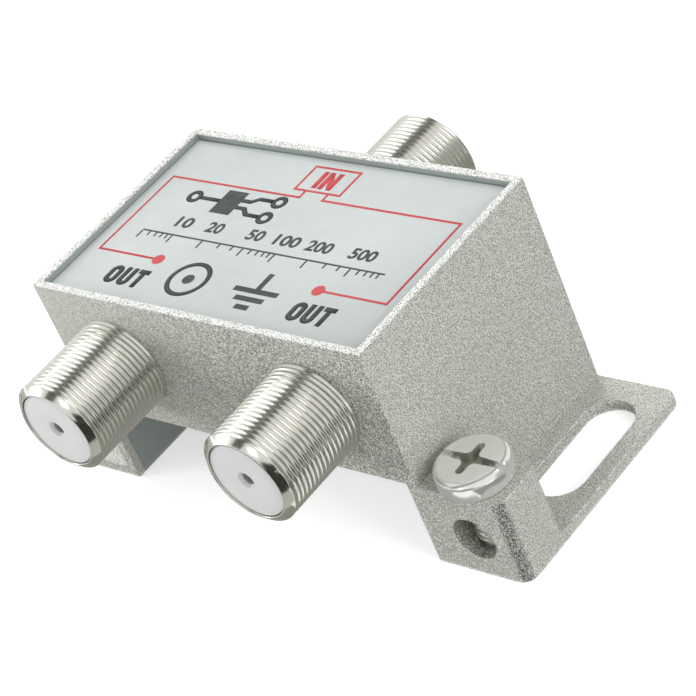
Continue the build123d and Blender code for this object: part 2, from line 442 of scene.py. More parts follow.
def makeCastZinc():
    look = zincLook
    material, tree, shader, spots = surface("castZinc", look["light"], look["metallic"])
    grain = placedEffect(tree, castGrain, spots, look["grains"], look["pitShare"])
    strength = zincGrainStrength(tree, spots, look)
    bareShaded = zincBareFaces(tree, spots, look)
    middle = tuple((low + high) / 2 for low, high in zip(look["dark"], look["light"]))
    colour = mixColour(tree, grain["Grain"], look["dark"], look["light"])
    colour = mixColour(tree, times(tree, grain["Pits"], look["pitShade"]), colour, look["pit"])
    colour = mixColour(tree, strength, middle, colour)
    # painted dark reflection down the block's rounded corner
    colour = mixColour(tree, zincCornerStreak(tree, spots, grain, look), colour, look["pit"])
    # painted shade inside the wire hole
    colour = mixColour(tree, zincDrilledWall(tree, spots, grain, look), colour, look["drilled"])
    # painted highlight on the rim's crest
    colour = mixColour(tree, zincRim(tree, spots, grain, look), colour, look["rim"])
    # painted shade on the legs' inner faces and on the recess walls
    colour = mixColour(tree, bareShaded, colour, look["bareShaded"])
    coloured(tree, shader, colour)
    roughened(tree, shader, grain["Grain"], look["roughness"])
    skin = times(tree, grain["Height"], minus(tree, 1.0, times(tree, bareShaded, look["bareSmooth"])))
    bumped(tree, shader, times(tree, skin, strength), *look["bump"])
    return material


nickelLook = {
    "colour": (0.68, 0.675, 0.615),
    "dull": (0.58, 0.575, 0.52),
    "dullShare": 0.5,
    "patches": 260.0,
    "toolLines": 14000.0,
    "roughness": (0.17, 0.25),
    "faceRoughness": 0.1,
    "faceFrom": 21.14,  # the chamfer and the lip lie further out than this y
    "bump": (0.12, 0.006),
}


def makeNickelPlate():
    look = nickelLook
    material, tree, shader, spots = surface("nickelPlate", look["colour"], 1.0)
    lines = placedEffect(tree, toolLines, alongAxis(tree, spots, "Y"), look["toolLines"])
    sheen = placedEffect(tree, handling, spots, look["patches"])
    dull = times(tree, sheen["Patches"], look["dullShare"])
    coloured(tree, shader, mixColour(tree, dull, look["colour"], look["dull"]))
    low, high = look["roughness"]
    outward = mathNode(tree, "ABSOLUTE", alongAxis(tree, spots, "Y"), 0.0)
    face = above(tree, outward, look["faceFrom"] * mm)
    rough = spread(tree, sheen["Fine"], 0.0, 1.0, low, high)
    rough = minus(tree, rough, times(tree, face, low - look["faceRoughness"]))
    tree.links.new(rough, shader.inputs["Roughness"])
    bumped(tree, shader, lines["Lines"], *look["bump"])
    return material


steelLook = {
    "metallic": 0.7,
    # the flat top is a lighter copy of the side's colour: painted light; its higher roughness is its finish
    "top": (0.86, 0.86, 0.81),
    "topRoughness": 0.42,
    "topFrom": 10.79,
    "side": (0.74, 0.74, 0.71),
    "sideRoughness": (0.12, 0.17),
    # painted shade in the slot and the cross recess; the added roughness there is the finish
    "recess": (0.42, 0.42, 0.36),
    "recessZone": (24.4, -9.05, 2.3, 9.3, 10.77),  # x, y, reach, bottom and top
    # painted shade on the shank, which sits inside the block
    "shank": (0.52, 0.52, 0.45),
    "shankTop": 8.7,
    "innerRoughness": 0.3,  # added in the recess and on the shank
    "worn": (0.3, 0.3, 0.27),
    "wornShare": 0.12,
    "patches": 420.0,
    "bump": (0.06, 0.01),
}


def makePlatedSteel():
    look = steelLook
    material, tree, shader, spots = surface("platedSteel", look["side"], look["metallic"])
    sheen = placedEffect(tree, handling, spots, look["patches"])
    height = alongAxis(tree, spots, "Z")
    x, y, reach, low, high = look["recessZone"]
    flat = above(tree, height, look["topFrom"] * mm)
    shank = below(tree, height, look["shankTop"] * mm)
    recess = roundMask(tree, spots, x, y, reach)
    recess = times(tree, recess, above(tree, height, low * mm))
    recess = times(tree, recess, below(tree, height, high * mm))
    # painted light: the flat top is coloured lighter than the side
    colour = mixColour(tree, flat, look["side"], look["top"])
    # painted shade in the slot and the cross recess
    colour = mixColour(tree, recess, colour, look["recess"])
    # painted shade on the shank inside the block
    colour = mixColour(tree, shank, colour, look["shank"])
    worn = mixColour(tree, look["wornShare"], colour, look["worn"])
    coloured(tree, shader, mixColour(tree, sheen["Patches"], colour, worn))
    lowRough, highRough = look["sideRoughness"]
    rough = spread(tree, sheen["Fine"], 0.0, 1.0, lowRough, highRough)
    rough = plus(tree, rough, times(tree, flat, look["topRoughness"] - lowRough))
    inner = mathNode(tree, "MAXIMUM", recess, shank)
    rough = plus(tree, rough, times(tree, inner, look["innerRoughness"]))
    tree.links.new(rough, shader.inputs["Roughness"])
    bumped(tree, shader, sheen["Patches"], *look["bump"])
    return material


insulatorLook = {
    "colour": (0.625, 0.625, 0.62),
    "dull": (0.58, 0.58, 0.575),
    "dullShare": 0.4,
    # painted shade in the pin hole and its countersink
    "hole": (0.36, 0.36, 0.35),
    "roughness": (0.33, 0.45),
    "patches": 300.0,
    "bump": (0.05, 0.01),
}


def makeInsulator():
    look = insulatorLook
    material, tree, shader, spots = surface("insulatorPlastic", look["colour"])
    sheen = placedEffect(tree, handling, spots, look["patches"])
    dull = times(tree, sheen["Patches"], look["dullShare"])
    colour = mixColour(tree, dull, look["colour"], look["dull"])
    # painted shade: a vertex value darkens the pin hole and its countersink
    holeShade = tree.nodes.new("ShaderNodeAttribute")
    holeShade.attribute_name = "holeShade"
    coloured(tree, shader, mixColour(tree, holeShade.outputs["Fac"], colour, look["hole"]))
    roughened(tree, shader, sheen["Fine"], look["roughness"])
    bumped(tree, shader, sheen["Fine"], *look["bump"])
    return material


filmLook = {
    "colour": (0.53, 0.57, 0.56),
    "patchColours": ((0.51, 0.55, 0.535), (0.60, 0.635, 0.62)),
    "corner": (0.45, 0.485, 0.47),  # painted shade: the film is darker towards its front right corner
    "cornerReach": (8, 30),  # from and to, in x less y
    "roughness": (0.5, 0.62),
    "specular": 0.35,
    "patches": 55.0,
    "bump": (0.04, 0.01),
}


def makeLabelFilm():
    look = filmLook
    material, tree, shader, spots = surface("labelFilm", look["colour"], specular=look["specular"])
    sheen = placedEffect(tree, handling, spots, look["patches"])
    colour = mixColour(tree, sheen["Patches"], *look["patchColours"])
    # painted shade: darker towards the film's front right corner
    across = minus(tree, alongAxis(tree, spots, "X"), alongAxis(tree, spots, "Y"))
    start, end = look["cornerReach"]
    colour = mixColour(tree, spread(tree, across, start * mm, end * mm), colour, look["corner"])
    coloured(tree, shader, colour)
    roughened(tree, shader, sheen["Fine"], look["roughness"])
    bumped(tree, shader, sheen["Fine"], *look["bump"])
    return material


inkLook = {
    "red": ((0.56, 0.055, 0.06), (0.62, 0.11, 0.115)),  # fresh and worn
    "dark": ((0.028, 0.036, 0.033), (0.06, 0.07, 0.066)),
    "wornShare": 0.35,
    "roughness": (0.52, 0.66),
    "specular": 0.3,
    "patches": 900.0,
}


def makeInk(name, fresh, worn):
    look = inkLook
    material, tree, shader, spots = surface(name, fresh, specular=look["specular"])
    sheen = placedEffect(tree, handling, spots, look["patches"])
    coloured(tree, shader, mixColour(tree, times(tree, sheen["Fine"], look["wornShare"]), fresh, worn))
    roughened(tree, shader, sheen["Patches"], look["roughness"])
    return material


# finishes of the pieces inside: two shades, metallic, roughness, patches for each metre, bump
innerLooks = {
    "contactBronze": ((0.78, 0.62, 0.34), (0.70, 0.52, 0.26), 1.0, (0.2, 0.34), 500.0, 0.1),
    "coverSteel": ((0.60, 0.61, 0.60), (0.52, 0.53, 0.52), 0.9, (0.28, 0.44), 90.0, 0.06),
    "boardLaminate": ((0.03, 0.17, 0.07), (0.05, 0.22, 0.09), 0.0, (0.3, 0.5), 700.0, 0.1),
    "ferrite": ((0.045, 0.045, 0.048), (0.075, 0.073, 0.075), 0.0, (0.5, 0.75), 900.0, 0.3),
    "copperWire": ((0.62, 0.22, 0.10), (0.52, 0.16, 0.07), 1.0, (0.22, 0.36), 1200.0, 0.1),
    "capacitorCeramic": ((0.42, 0.30, 0.19), (0.36, 0.25, 0.15), 0.0, (0.4, 0.6), 1200.0, 0.1),
    "resistorCeramic": ((0.06, 0.06, 0.065), (0.10, 0.10, 0.10), 0.0, (0.35, 0.5), 1200.0, 0.1),
}


def makeInner(name):
    first, second, metallic, roughness, patches, bump = innerLooks[name]
    material, tree, shader, spots = surface(name, first, metallic)
    sheen = placedEffect(tree, handling, spots, patches)
    coloured(tree, shader, mixColour(tree, sheen["Patches"], first, second))
    roughened(tree, shader, sheen["Fine"], roughness)
    bumped(tree, shader, sheen["Fine"], bump, 0.02)
    return material


castZinc = makeCastZinc()
nickelPlate = makeNickelPlate()
platedSteel = makePlatedSteel()
insulatorPlastic = makeInsulator()
labelFilm = makeLabelFilm()
redInk = makeInk("redInk", *inkLook["red"])
darkInk = makeInk("darkInk", *inkLook["dark"])
innerFinish = {name: makeInner(name) for name in innerLooks}
print("splitter: finishes made")

# the CAD pieces that stay as they are take their finish here
keptPieces = {
    labelFilm: ("label_foil",),
    innerFinish["boardLaminate"]: ("circuit_board",),
    innerFinish["coverSteel"]: ("bottom_cover",),
    innerFinish["ferrite"]: ("matching_core", "dividing_core"),
    innerFinish["copperWire"]: ("matching_winding", "dividing_winding"),
    innerFinish["capacitorCeramic"]: (
        "input_capacitor", "left_output_capacitor", "right_output_capacitor", "trimming_capacitor"),
    innerFinish["resistorCeramic"]: ("isolation_resistor",),
    innerFinish["contactBronze"]: ("input_contact", "left_output_contact", "right_output_contact"),
}
for finish, pieces in keptPieces.items():
    for node in pieces:
        nodes[node].data.materials.clear()
        nodes[node].data.materials.append(finish)

# cast housing

castEdges = {
    "radius": 0.13,
    "sharperThan": 30,
    "merge": 0.0005,
    "flatWithin": 0.4,  # faces that differ by fewer degrees become one
    "shadeAngle": 50,
    "tappedHole": (24.4, -9.05, 2.3, 8.7),  # x, y, reach and top of the tapped hole
    "blockBack": -4.9,  # the faces are cut here, where the rounding ends
    "sharpZones": (  # edges in these boxes stay sharp
        ((-18.9, -10.8, 8.9), (18.9, 10.8, 22.6)),  # chamber
        ((20.1, -8.0, 1.1), (28.9, -4.9, 1.3)),  # foot of the clamp block
        ((22.1, -12.1, 1.9), (26.7, -5.9, 6.5)),  # wire hole, drilled after casting
    ),
}


def staysSharp(edge):
    middle = (edge.verts[0].co + edge.verts[1].co) / 2 / mm
    holeX, holeY, reach, top = castEdges["tappedHole"]
    inHole = math.hypot(middle.x - holeX, middle.y - holeY) < reach and middle.z < top
    inZone = any(all(low[i] <= middle[i] <= high[i] for i in range(3)) for low, high in castEdges["sharpZones"])
    return inHole or inZone


def makeHousing():
    bm = bmesh.new()
    bm.from_mesh(nodes["housing"].data)
    bmesh.ops.remove_doubles(bm, verts=bm.verts, dist=castEdges["merge"] * mm)
    bmesh.ops.dissolve_limit(bm, angle_limit=math.radians(castEdges["flatWithin"]), use_dissolve_boundaries=False,
                             verts=bm.verts, edges=bm.edges, delimit=set())
    bmesh.ops.bisect_plane(bm, geom=list(bm.verts) + list(bm.edges) + list(bm.faces), dist=1e-7,
                           plane_co=(0, castEdges["blockBack"] * mm, 0), plane_no=(0, 1, 0))
    weights = bm.edges.layers.float.new("bevel_weight_edge")
    for edge in sharpEdges(bm, castEdges["sharperThan"]):
        if edge.is_convex and not staysSharp(edge):
            edge[weights] = 1.0
    housing = finished("castHousing", bm, castZinc, "base", "housing", castEdges["sharperThan"])
    rounding = housing.modifiers.new("edgeRounding", "BEVEL")
    rounding.limit_method = "WEIGHT"
    rounding.width = castEdges["radius"] * mm
    rounding.segments = 2
    rounding.profile = 0.5
    rounding.use_clamp_overlap = False
    rounded = evaluatedMesh(housing)
    housing.modifiers.clear()
    housing.data = rounded
    rounded.name = "castHousing"
    shaded(rounded, castEdges["shadeAngle"])
    even = housing.modifiers.new("flatFaces", "WEIGHTED_NORMAL")
    even.keep_sharp = True
    even.weight = 90


makeHousing()
print("splitter: housing made")

# threaded ports

barrel = {
    "wall": 12,  # the barrels stand on the housing's walls, at this y and at its opposite
    "outer": 4.7625,
    "tail": 4.45,
    "bore": 3.9,
    "length": 9.7,
    "chamfer": 0.55,
    "lip": 0.15,
    "tailLength": 3.2,
    "edge": 0.04,
    "collar": 0.05,  # plain length at the wall
    "threadStart": 0.1,  # points nearer to the wall than this stay where they are
    "runIn": 0.6,  # over which the thread gets its depth
    "frontLand": 0.16,  # plain ring between the last turn and the chamfer
    "runOut": 0.14,  # over which the thread loses its depth before that ring
    "pitch": 0.5285,
    "threadDepth": 0.14,
    "pointsPerTurn": 14,
    "steps": 128,
    "shadeAngle": 50,
}


def longEdges(bm, length, radius):
    # edges that run along the axis on the outside
    return [edge for edge in bm.edges
            if abs(edge.verts[0].co.z - edge.verts[1].co.z) > length
            and min(v.co.xy.length for v in edge.verts) > radius - near]


def threadForm(turn):
    # depth of the cut at a share of one turn: narrow crest, wide even root
    return 1 - (0.5 + 0.5 * math.cos(math.tau * turn)) ** 2


def makeBarrel(name, place, node):
    b = barrel
    landStart = b["length"] - b["chamfer"]
    threadEnd = landStart - b["frontLand"]
    bm = turned([
        (-b["tailLength"], b["bore"]),
        (-b["tailLength"], b["tail"]),
        (0, b["tail"]),
        (0, b["outer"]),
        (landStart, b["outer"]),
        (b["length"], b["bore"] + b["lip"]),
        (b["length"], b["bore"]),
    ], b["steps"])
    softened(bm, sharpEdges(bm, 30), b["edge"])
    span = landStart - 2 * b["edge"]
    long = longEdges(bm, 0.9 * span, b["outer"])
    bmesh.ops.subdivide_edges(bm, edges=long, use_grid_fill=False,
                              cuts=round(span / b["pitch"] * b["pointsPerTurn"]))
    for v in bm.verts:
        radius, along = v.co.xy.length, v.co.z
        if radius > b["outer"] - near and b["threadStart"] < along < threadEnd:
            turn = along / b["pitch"] - math.atan2(v.co.y, v.co.x) / math.tau
            depth = b["threadDepth"] * threadForm(turn)
            depth *= smoothStep(along, b["collar"], b["collar"] + b["runIn"])
            depth *= 1 - smoothStep(along, threadEnd - b["runOut"], threadEnd)
            v.co.xy *= (radius - depth) / radius
    bm.transform(place)
    finished(name, bm, nickelPlate, "base", node, b["shadeAngle"])


disc = {
    "radius": 3.82,
    "setBack": 0.15,  # behind the barrel's lip
    "hole": 0.6,
    "countersink": 0.3,
    "front": 1.6,  # thickness before the contact's room
    "contactHole": 1.35,
    "steps": 96,
    "edge": 0.05,
    "holeEdge": 0.02,
    "shade": 0.4,  # painted shade on the countersink, as a share of the hole's
    "shadeFrom": 0.002,
    "shadeAngle": 30,
}


def frontEdges(bm, end, reach):
    # sharp edges before the contact's room, with their radius in a reach
    return [edge for edge in sharpEdges(bm, 30)
            if edge.verts[0].co.z > end - disc["front"] + near
            and reach[0] < edge.verts[0].co.xy.length < reach[1]]


def makeInsulatorDisc(name, place, node):
    end = barrel["length"] - disc["setBack"]
    bm = turned([
        (-barrel["tailLength"], disc["contactHole"]),
        (-barrel["tailLength"], disc["radius"]),
        (end, disc["radius"]),
        (end, disc["hole"] + disc["countersink"]),
        (end - disc["countersink"], disc["hole"]),
        (end - disc["front"], disc["hole"]),
        (end - disc["front"], disc["contactHole"]),
    ], disc["steps"])
    softened(bm, frontEdges(bm, end, (disc["contactHole"], math.inf)), disc["edge"], 3)
    softened(bm, frontEdges(bm, end, (0.0, disc["contactHole"])), disc["holeEdge"])
    # painted shade: full in the pin hole, a share of it on the countersink
    holeShade = bm.verts.layers.float.new("holeShade")
    for v in bm.verts:
        if v.co.xy.length < disc["hole"] + disc["countersink"] and v.co.z < end - disc["shadeFrom"]:
            v[holeShade] = 1.0 if v.co.z < end - disc["countersink"] else disc["shade"]
    bm.transform(place)
    finished(name, bm, insulatorPlastic, "base", node, disc["shadeAngle"])


def makePort(port, short):
    low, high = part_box(f"{port}_sleeve")
    middle = (low + high) / 2 / mm
    side = 1 if middle.y > 0 else -1
    turn = Matrix.Rotation(-side * math.pi / 2, 4, "X")
    place = placed((middle.x, side * barrel["wall"], middle.z), turn)
    makeBarrel(f"{short}Barrel", place, f"{port}_sleeve")
    makeInsulatorDisc(f"{short}Disc", place, f"{port}_insulator")


makePort("input", "input")
makePort("left_output", "leftOutput")
makePort("right_output", "rightOutput")
print("splitter: ports made")

# clamp screw

screw = {
    "headRadius": 3.5,
    "headHeight": 1.9,
    "headEdge": 0.6,
    "underEdge": 0.12,
    "shank": 2.0,
    "length": 6.6,
    "tipChamfer": 0.35,
    "pitch": 0.7,
    "threadDepth": 0.36,
    "threadEnd": (-0.9, -0.4),  # under the head: where the thread begins to fade, and where it is gone
    "threadCuts": 90,
    "steps": 96,
    "slot": (9, 0.7, 0.42),  # length, width and depth
    "cross": (4.3, 0.86, 0.95),  # length, width and depth
    "web": 0.55,  # rounding between the arms
    "taper": 0.3,  # share by which the cross is narrower at its bottom
    "shadeAngle": 35,
}


def cutterFrom(name, bm, place):
    bmesh.ops.recalc_face_normals(bm, faces=bm.faces)
    bm.transform(place)
    return linked(name, meshFrom(name, bm))


def crossCutter(place):
    # four arms with round ends and round webs between them, narrower at the bottom
    length, width, depth = screw["cross"]
    half, arm, web = length / 2, width / 2, screw["web"]
    quarter = arc(half - arm, 0, arm, -90, 90, 8) + arc(arm + web, arm + web, web, 270, 180, 8)
    outline = []
    for step in range(4):
        spin = Matrix.Rotation(step * math.pi / 2, 2)
        outline += [spin @ Vector(point) for point in quarter]
    bm = bmesh.new()
    ring = chain(bm, [(point.x, point.y, 0.4) for point in outline], closed=True)
    bmesh.ops.edgeloop_fill(bm, edges=[part for part in ring if isinstance(part, bmesh.types.BMEdge)])
    for v in vertsIn(bmesh.ops.extrude_face_region(bm, geom=list(bm.faces))):
        v.co.z = -depth
        v.co.xy *= 1 - screw["taper"] * min(1.0, v.co.xy.length / half)
    return cutterFrom("crossCutter", bm, place)


def slotCutter(place):
    length, width, depth = screw["slot"]
    bm = bmesh.new()
    bmesh.ops.create_cube(bm, size=1, matrix=Matrix.Translation((0, 0, 0.5 - depth))
                          @ Matrix.Diagonal((length, width, 1, 1)))
    return cutterFrom("slotCutter", bm, place)


def cutThread(bm):
    s = screw
    bmesh.ops.subdivide_edges(bm, edges=longEdges(bm, s["length"] * 0.8, s["shank"]), cuts=s["threadCuts"],
                              use_grid_fill=False)
    for v in bm.verts:
        radius = v.co.xy.length
        onShank = s["shank"] - s["tipChamfer"] - near < radius < s["shank"] + near
        if onShank and -s["length"] - near < v.co.z < -near:
            turn = v.co.z / s["pitch"] - math.atan2(v.co.y, v.co.x) / math.tau
            depth = s["threadDepth"] * threadForm(turn) * (1 - smoothStep(v.co.z, *s["threadEnd"]))
            deepest = min(depth, max(0.0, radius - (s["shank"] - s["threadDepth"])))
            v.co.xy *= (radius - deepest) / radius


def carve(piece, cutter):
    cut = piece.modifiers.new(cutter.name, "BOOLEAN")
    cut.operation = "DIFFERENCE"
    cut.solver = "EXACT"
    cut.object = cutter
    carved = evaluatedMesh(piece)
    piece.modifiers.clear()
    old, piece.data = piece.data, carved
    bpy.data.meshes.remove(old)
    bpy.data.objects.remove(cutter)


def makeScrew():
    low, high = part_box("clamp_screw")
    middle = (low + high) / 2 / mm
    s = screw
    bm = turned([
        (-s["length"], 0.0),
        (-s["length"], s["shank"] - s["tipChamfer"]),
        (-s["length"] + s["tipChamfer"], s["shank"]),
        (0, s["shank"]),
        (0, s["headRadius"]),
        (s["headHeight"], s["headRadius"]),
        (s["headHeight"], 0.0),
    ], s["steps"])
    bmesh.ops.dissolve_degenerate(bm, dist=1e-5, edges=bm.edges)
    rim = [edge for edge in sharpEdges(bm, 60) if min(v.co.z for v in edge.verts) > s["headHeight"] - near]
    softened(bm, rim, s["headEdge"], 7)
    under = [edge for edge in sharpEdges(bm, 60) if max(v.co.z for v in edge.verts) < near
             and min(v.co.xy.length for v in edge.verts) > s["headRadius"] - 0.5]
    softened(bm, under, s["underEdge"], 3)
    cutThread(bm)
    bm.transform(placed((middle.x, middle.y, high.z / mm - s["headHeight"])))
    piece = finished("clampScrew", bm, platedSteel, "earth_screw", "clamp_screw", s["shadeAngle"])
    top = placed((middle.x, middle.y, high.z / mm))
    for cutter in (slotCutter(top), crossCutter(top)):
        carve(piece, cutter)
    piece.data.name = "clampScrew"
    shaded(piece.data, s["shadeAngle"])


makeScrew()
print("splitter: clamp screw made")

# print on the label

printing = {
    "sunk": 0.006,  # below the film's top, so that no gap shows
    "lines": 0.016,  # height of lines and digits
    "fields": 0.019,
    "layer": 0.0007,  # step between lines that cross, so that they don't share a plane
    "bold": 0.03,  # how much wider the digits' strokes are
    "shadeAngle": 30,
}
printPlace = placed((0, 0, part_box("label_foil")[1].z / mm - printing["sunk"]))


def printedLines(name, lines, width, ink):
    # each line is a chain of points on the label; a live Solidify gives it its width
    bm = bmesh.new()
    for number, (points, closed) in enumerate(lines):
        layer = printing["layer"] * (number % 3)
        chain(bm, [(x, y, layer) for x, y in points], closed)
    raised = bmesh.ops.extrude_edge_only(bm, edges=bm.edges)
    bmesh.ops.translate(bm, vec=(0, 0, printing["lines"]), verts=vertsIn(raised))
    bm.transform(printPlace)
    piece = asPiece(name, meshFrom(name, bm), ink, "base", None, printing["shadeAngle"])
    wall = piece.modifiers.new("lineWidth", "SOLIDIFY")
    wall.thickness = width * mm
    wall.offset = 0
    wall.use_even_offset = True
    wall.use_rim = True


def printedFields(name, shapes, ink):
    # filled dots and bars: each is a flat face raised to the print's height
    bm = bmesh.new()
    for shape in shapes:
        if len(shape) == 3:
            x, y, radius = shape
            bmesh.ops.create_circle(bm, cap_ends=True, cap_tris=False, segments=40, radius=radius,
                                    matrix=Matrix.Translation((x, y, 0)))
        else:
            x0, y0, x1, y1 = shape
            bmesh.ops.create_grid(bm, x_segments=1, y_segments=1, size=0.5,
                                  matrix=Matrix.Translation(((x0 + x1) / 2, (y0 + y1) / 2, 0))
                                  @ Matrix.Diagonal((x1 - x0, y1 - y0, 1, 1)))
    raised = bmesh.ops.extrude_face_region(bm, geom=list(bm.faces))
    bmesh.ops.translate(bm, vec=(0, 0, printing["fields"]), verts=vertsIn(raised))
    bm.transform(printPlace)
    finished(name, bm, ink, "base", None, printing["shadeAngle"])


# block letters for the legends: strokes inside a width and a height, each a chain of points
def letterStrokes(letter, wide, tall, stroke):
    half = stroke / 2
    left, right, low, high = half, wide - half, half, tall - half
    bend = (right - left) / 2
    if letter == "I":
        return [([(wide / 2, 0), (wide / 2, tall)], False)]
    if letter == "N":
        return [([(left, 0), (left, tall)], False), ([(right, 0), (right, tall)], False),
                ([(left + 0.02, tall - half * 0.7), (right - 0.02, half * 0.7)], False)]
    if letter == "T":
        return [([(0, high), (wide, high)], False), ([(wide / 2, 0), (wide / 2, high)], False)]
    if letter == "U":
        return [([(left, tall)] + arc(wide / 2, low + bend, bend, 180, 360) + [(right, tall)], False)]
    return [(arc(wide / 2, low + bend, bend, 180, 360) + arc(wide / 2, high - bend, bend, 0, 180), True)]


legend = {
    "stroke": 0.57,
    "gap": 0.2,
    "tall": 2.4,
    "widths": {"O": 1.5, "U": 1.42, "T": 1.36, "I": 0.5, "N": 1.62},
    "words": (
        # name, word, left and bottom, ink
        ("inputLegend", "IN", -1.25, 7.1, redInk),
        ("leftOutputLegend", "OUT", -13.9, -9.2, darkInk),
        ("rightOutputLegend", "OUT", 8.75, -9.2, darkInk),
    ),
}


def printLegends():
    for name, word, x, bottom, ink in legend["words"]:
        strokes = []
        for letter in word:
            wide = legend["widths"][letter]
            for points, closed in letterStrokes(letter, wide, legend["tall"], legend["stroke"]):
                strokes.append(([(x + px, bottom + py) for px, py in points], closed))
            x += wide + legend["gap"]
        printedLines(name, strokes, legend["stroke"], ink)


redFrame = {
    "lineWidth": 0.26,
    "box": ((-2.84, 6.66), (2.64, 6.66), (2.64, 9.99), (-2.84, 9.99)),
    "left": ((-1.45, 6.56), (-1.45, 5.65), (-17.65, 5.65), (-17.65, -5.2), (-9.9, -5.2)),
    "right": ((1.3, 6.56), (1.3, 5.7), (17.45, 5.7), (17.45, -5.15), (9.7, -5.15)),
    "dots": ((-9.9, -5.2, 0.65), (9.7, -5.15, 0.65)),
}


def printRedFrame():
    look = redFrame
    lines = [(look["box"], True), (look["left"], False), (look["right"], False)]
    printedLines("redFrame", lines, look["lineWidth"], redInk)
    printedFields("redDots", look["dots"], redInk)


# divider symbol: one line in, a solid block, two lines out
symbol = {
    "rings": ((-12.9, 3.5), (-3.0, 4.55), (-3.0, 2.3)),
    "ringRadius": 0.62,
    "lines": (
        ((-12.1, 3.5), (-9.5, 3.5)),
        ((-7.4, 4.0), (-6.1, 4.0), (-5.4, 4.55), (-3.75, 4.55)),
        ((-7.4, 3.0), (-6.1, 3.0), (-5.4, 2.3), (-3.75, 2.3)),
    ),
    "block": (-9.7, 1.85, -7.2, 5.1),
    "stroke": 0.5,
}


def printDivider():
    rings = [(arc(x, y, symbol["ringRadius"], 0, 345, 23), True) for x, y in symbol["rings"]]
    lines = [(line, False) for line in symbol["lines"]]
    printedLines("dividerSymbol", rings + lines, symbol["stroke"], darkInk)
    printedFields("dividerBlock", [symbol["block"]], darkInk)


# a scale with plain numbers across the middle, read as on a dial
scaleBar = {
    "left": -14.9, "right": 14.7, "first": 5, "last": 1000,
    "numbers": (10, 20, 50, 100, 200, 500),
    "numberBottom": -0.75, "numberTall": 1.45, "perDigit": 0.98,
    "ruleTop": -1.75, "ruleTall": 0.19, "ticks": (1.0, 0.55), "tickWidth": 0.18,
}


def scalePlace(value):
    share = math.log(value / scaleBar["first"]) / math.log(scaleBar["last"] / scaleBar["first"])
    return scaleBar["left"] + share * (scaleBar["right"] - scaleBar["left"])


def printedNumber(number):
    # plain digits fitted to their box on the label
    name, text = f"scaleNumber{number}", str(number)
    curve = bpy.data.curves.new(name, "FONT")
    curve.body = text
    curve.offset = printing["bold"]
    curve.extrude = 0.5
    curve.resolution_u = 6
    curve.fill_mode = "BOTH"
    digits = linked(name + "Text", curve)
    bpy.context.view_layer.update()
    mesh = evaluatedMesh(digits)
    bpy.data.objects.remove(digits)
    bpy.data.curves.remove(curve)
    bm = bmesh.new()
    bm.from_mesh(mesh)
    bpy.data.meshes.remove(mesh)
    bmesh.ops.remove_doubles(bm, verts=bm.verts, dist=1e-5)
    xs, ys = [v.co.x for v in bm.verts], [v.co.y for v in bm.verts]
    wide, tall, high = scaleBar["perDigit"] * len(text), scaleBar["numberTall"], printing["lines"]
    left = scalePlace(number) - wide / 2
    fit = Matrix.Diagonal((wide / (max(xs) - min(xs)), tall / (max(ys) - min(ys)), high, 1))
    bm.transform(Matrix.Translation((left, scaleBar["numberBottom"], high / 2)) @ fit
                 @ Matrix.Translation((-min(xs), -min(ys), 0)))
    bm.transform(printPlace)
    finished(name, bm, darkInk, "base", None, printing["shadeAngle"])


def printScale():
    look = scaleBar
    ruleLow, half = look["ruleTop"] - look["ruleTall"], look["tickWidth"] / 2
    bars = [(look["left"], ruleLow, look["right"], look["ruleTop"])]
    for decade in (1, 10, 100):
        for step in range(1, 10):
            value = decade * step
            if look["first"] <= value <= look["last"]:
                x, down = scalePlace(value), look["ticks"][0 if step in (1, 2, 5) else 1]
                bars.append((x - half, ruleLow - down, x + half, ruleLow))
    printedFields("scaleTicks", bars, darkInk)
    for number in look["numbers"]:
        printedNumber(number)


# socket symbol and earth symbol between the two output legends
marks = {
    "socket": (-4.6, -6.85, 2.05),  # x, y and radius
    "socketWidth": 0.5,
    "pin": 0.62,
    "earth": ((3.3, -6.4, 3.9, -4.3), (1.0, -7.0, 6.2, -6.4), (1.9, -8.05, 5.3, -7.45), (2.8, -9.1, 4.4, -8.5)),
}


def printMarks():
    x, y, radius = marks["socket"]
    printedLines("socketRing", [(arc(x, y, radius, 0, 352.5, 47), True)], marks["socketWidth"], darkInk)
    printedFields("socketPin", [(x, y, marks["pin"])], darkInk)
    printedFields("earthSymbol", marks["earth"], darkInk)


printRedFrame()
printLegends()
printDivider()
printScale()
printMarks()
print("splitter: label printed")

# floor, light and camera

